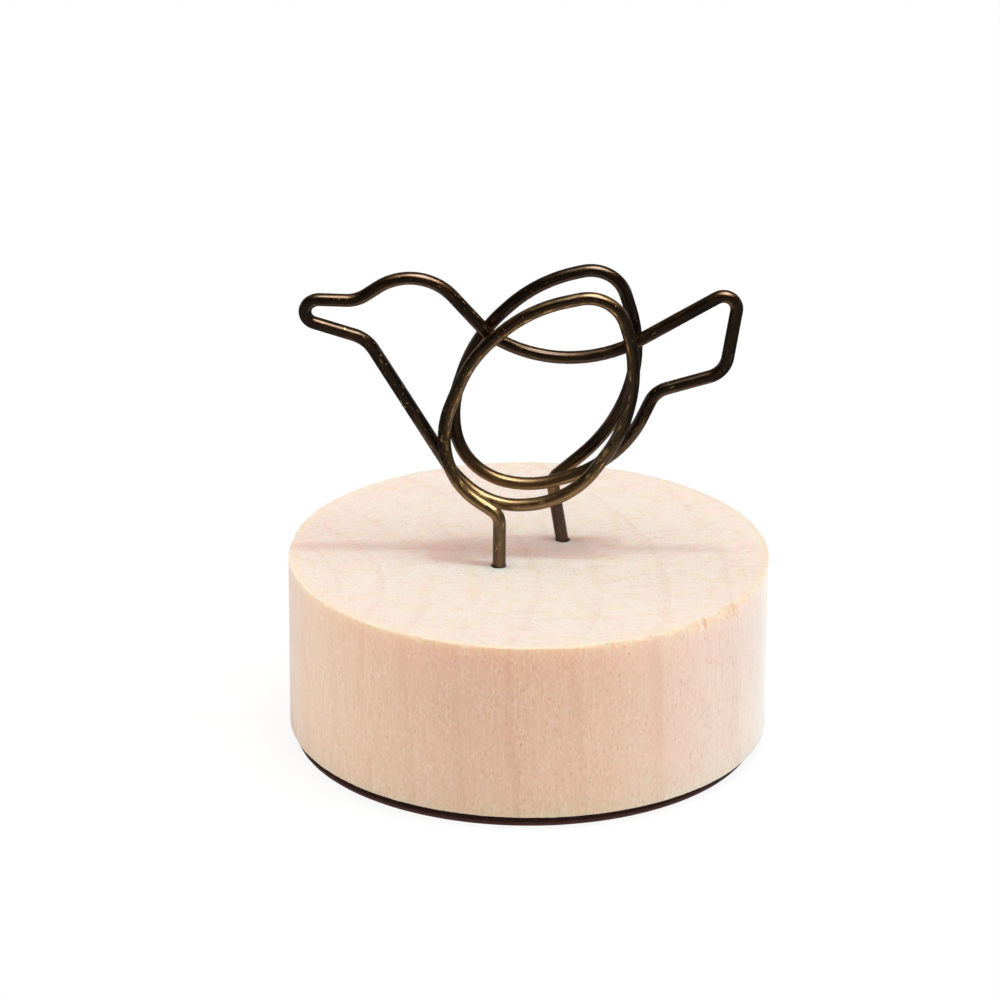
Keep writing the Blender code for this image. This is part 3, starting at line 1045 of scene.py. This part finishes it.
def cut_pad(settings):
    edge = settings.rim_wear

    def cut(angle):
        """The radius of the die-cut side."""
        return PAD_R - PAD_TRIM - PAD_MARKS * (
            1 + rough_at(angle, PAD_WAVE, PAD_R, settings.seed)
            + 0.5 * rough_at(angle, PAD_RIPPLE, PAD_R, settings.seed + 1))

    def on_top_rim(angle, part):
        return cut(angle) - edge * (1 - math.sin(part)), PAD_TOP - edge * (1 - math.cos(part))

    def on_bottom_rim(angle, part):
        return cut(angle) - edge * (1 - math.cos(part)), edge * (1 - math.sin(part))

    rings = [round_ring(PAD_SIDES, lambda angle: (PAD_R - PAD_RINGS_INSIDE, PAD_TOP)),
             *rim_rings(PAD_SIDES, PAD_RIM_STEPS, on_top_rim),
             *rim_rings(PAD_SIDES, PAD_RIM_STEPS, on_bottom_rim),
             round_ring(PAD_SIDES, lambda angle: (PAD_R - PAD_RINGS_INSIDE, 0.0))]
    rings = [[(x + PAD_SHIFT, y, z) for x, y, z in ring] for ring in rings]
    return turned_shape("foam_pad", PAD_SIDES, rings)


class MEMOCLIP_OT_pad(bpy.types.Operator):
    """Makes the dark foam pad under the disc, with its die-cut edge"""

    bl_idname = "memo_clip.pad"
    bl_label = "Foam pad"

    def execute(self, context):
        settings = context.scene.memo_clip_pad
        pad = cut_pad(settings)
        pad.data.materials.append(foam_material(settings))
        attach(pad, "root")
        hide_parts("base_pad")
        return {"FINISHED"}


# Floor, light and camera

def seen_directly(nodes):
    """1 for rays from the camera, and for those that reach it by way of metal or glass, and
    1 for the camera's own rays alone."""
    path = nodes.add("ShaderNodeLightPath").outputs
    seen = nodes.larger(path["Is Camera Ray"], path["Is Glossy Ray"])
    return nodes.larger(seen, path["Is Transmission Ray"]), path["Is Camera Ray"]


def floor_material(settings):
    material, nodes, shader = new_material("pale_floor")
    nodes.tree.nodes.remove(shader)
    lit = nodes.add("ShaderNodeBsdfDiffuse", {"Color": settings.floor_colour})
    seen, by_camera = seen_directly(nodes)
    plain = nodes.add("ShaderNodeEmission", {
        "Color": WHITE, "Strength": nodes.larger(by_camera, 0.09)})
    share = nodes.times(seen, nodes.smooth(by_camera, 0.0, 1.0, 0.95, 0.9))
    mixed = nodes.add("ShaderNodeMixShader", {0: share, 1: lit.outputs[0], 2: plain.outputs[0]})
    out = material.node_tree.nodes["Material Output"]
    nodes.link(mixed.outputs[0], out.inputs["Surface"])
    return material


def white_room(settings):
    """A room that metal sees white at the back, and dim overhead and at the front."""
    world = bpy.data.worlds.new("white_room")
    world.use_nodes = True
    bpy.context.scene.world = world
    nodes = Nodes(world.node_tree)
    world.node_tree.nodes.clear()
    light = nodes.add("ShaderNodeBackground", {
        "Color": settings.room_colour, "Strength": settings.room_light})
    direction = nodes.add("ShaderNodeTexCoord").outputs["Generated"]
    _, back, above = nodes.separate(direction)
    dim = nodes.times(nodes.smooth(above, 0.04, 0.4, 1.0, 0.08),
                      nodes.smooth(back, -0.1, 0.7, 0.15, 1.0))
    seen, by_camera = seen_directly(nodes)
    plain = nodes.add("ShaderNodeBackground", {
        "Color": WHITE, "Strength": nodes.larger(dim, by_camera)})
    mixed = nodes.add("ShaderNodeMixShader", {
        0: seen, 1: light.outputs[0], 2: plain.outputs[0]})
    nodes.add("ShaderNodeOutputWorld", {"Surface": mixed.outputs[0]})


def soft_box(name, place, width, depth, power, colour):
    """A lamp that faces the wooden disc, as wide and as deep as is given."""
    lamp = bpy.data.lights.new(name, "AREA")
    lamp.shape = "RECTANGLE"
    lamp.size = width
    lamp.size_y = depth
    lamp.energy = power
    lamp.color = colour
    obj = new_object(name, lamp)
    aim = Vector((0, 0, DISC_TOP)) - Vector(place)
    obj.location = place
    obj.rotation_euler = aim.to_track_quat("-Z", "Y").to_euler()
    return obj


def lamps_above(rows, power, colour):
    """The lamps above the disc, from rows of name, place, size and share of the power."""
    return [soft_box(
        name, (right * LAMP_HEIGHT, back * LAMP_HEIGHT, DISC_TOP + LAMP_HEIGHT),
        width * LAMP_HEIGHT, depth * LAMP_HEIGHT, power * share, colour)
        for name, right, back, width, depth, share in rows]


def photograph_camera():
    """Looks down at the disc from the front, as the photograph does."""
    forward = Vector((0, math.cos(CAMERA_TILT), -math.sin(CAMERA_TILT)))
    level = Vector((1, 0, 0))
    upward = level.cross(forward)
    right = math.cos(CAMERA_ROLL) * level + math.sin(CAMERA_ROLL) * upward
    up = math.cos(CAMERA_ROLL) * upward - math.sin(CAMERA_ROLL) * level
    camera = bpy.data.cameras.new("photograph_camera")
    camera.sensor_width = CAMERA_SENSOR
    camera.lens = CAMERA_LENS
    obj = new_object("photograph_camera", camera)
    turned = Matrix((right, up, -forward)).transposed().to_4x4()
    obj.matrix_world = Matrix.Translation(CAMERA_PLACE) @ turned
    bpy.context.scene.camera = obj


class MEMOCLIP_OT_stage(bpy.types.Operator):
    """Makes the pale floor, the soft light and the camera"""

    bl_idname = "memo_clip.stage"
    bl_label = "Floor, light and camera"

    def execute(self, context):
        settings = context.scene.memo_clip_stage
        mesh = bpy.data.meshes.new("floor")
        corners = ((-1, -1), (1, -1), (1, 1), (-1, 1))
        mesh.from_pydata(
            [(x * FLOOR_REACH, y * FLOOR_REACH, 0) for x, y in corners], [], [(0, 1, 2, 3)])
        mesh.materials.append(floor_material(settings))
        floor = new_object("floor", mesh)
        white_room(settings)
        lamps = lamps_above(LAMPS_ABOVE, settings.top_light, settings.key_colour)
        gleams = lamps_above(GLEAMS_ABOVE, settings.gleam_light, settings.gleam_colour)
        lamps += [
            soft_box("right_box", RIGHT_BOX, SIDE_BOX, SIDE_BOX, settings.right_light,
                     settings.right_colour),
            soft_box("left_box", LEFT_BOX, SIDE_BOX, SIDE_BOX, settings.left_light,
                     settings.left_colour)]
        for lamp in lamps:
            lamp.visible_glossy = False
        for gleam in gleams:
            gleam.visible_diffuse = False
        photograph_camera()
        context.scene.view_settings.view_transform = "Standard"
        return {"FINISHED"}


SETTINGS = {
    "memo_clip_disc": DiscSettings,
    "memo_clip_bird": BirdSettings,
    "memo_clip_pad": PadSettings,
    "memo_clip_stage": StageSettings,
}
# Each operator, with the name of the settings that it reads
OPERATORS = {
    MEMOCLIP_OT_disc: "memo_clip_disc",
    MEMOCLIP_OT_fibres: "memo_clip_disc",
    MEMOCLIP_OT_bird: "memo_clip_bird",
    MEMOCLIP_OT_pad: "memo_clip_pad",
    MEMOCLIP_OT_stage: "memo_clip_stage",
}


class MEMOCLIP_PT_panel(bpy.types.Panel):
    """The pieces of the memo clip holder and their settings"""

    bl_idname = "MEMOCLIP_PT_panel"
    bl_label = "Memo clip holder"
    bl_space_type = "VIEW_3D"
    bl_region_type = "UI"
    bl_category = "Memo clip"

    def draw(self, context):
        for group in SETTINGS:
            settings = getattr(context.scene, group)
            box = self.layout.box()
            for name in settings.bl_rna.properties.keys():
                if name not in ("rna_type", "name"):
                    box.prop(settings, name)
            for operator, read in OPERATORS.items():
                if read == group:
                    box.operator(operator.bl_idname)


def register():
    for name, settings in SETTINGS.items():
        bpy.utils.register_class(settings)
        setattr(bpy.types.Scene, name, PointerProperty(type=settings))
    for operator in OPERATORS:
        bpy.utils.register_class(operator)
    bpy.utils.register_class(MEMOCLIP_PT_panel)


def unregister():
    bpy.utils.unregister_class(MEMOCLIP_PT_panel)
    for operator in reversed(OPERATORS):
        bpy.utils.unregister_class(operator)
    for name, settings in SETTINGS.items():
        delattr(bpy.types.Scene, name)
        bpy.utils.unregister_class(settings)


def main():
    register()
    bpy.ops.memo_clip.disc()
    bpy.ops.memo_clip.fibres()
    bpy.ops.memo_clip.bird()
    bpy.ops.memo_clip.pad()
    bpy.ops.memo_clip.stage()


if __name__ == "__main__":
    main()
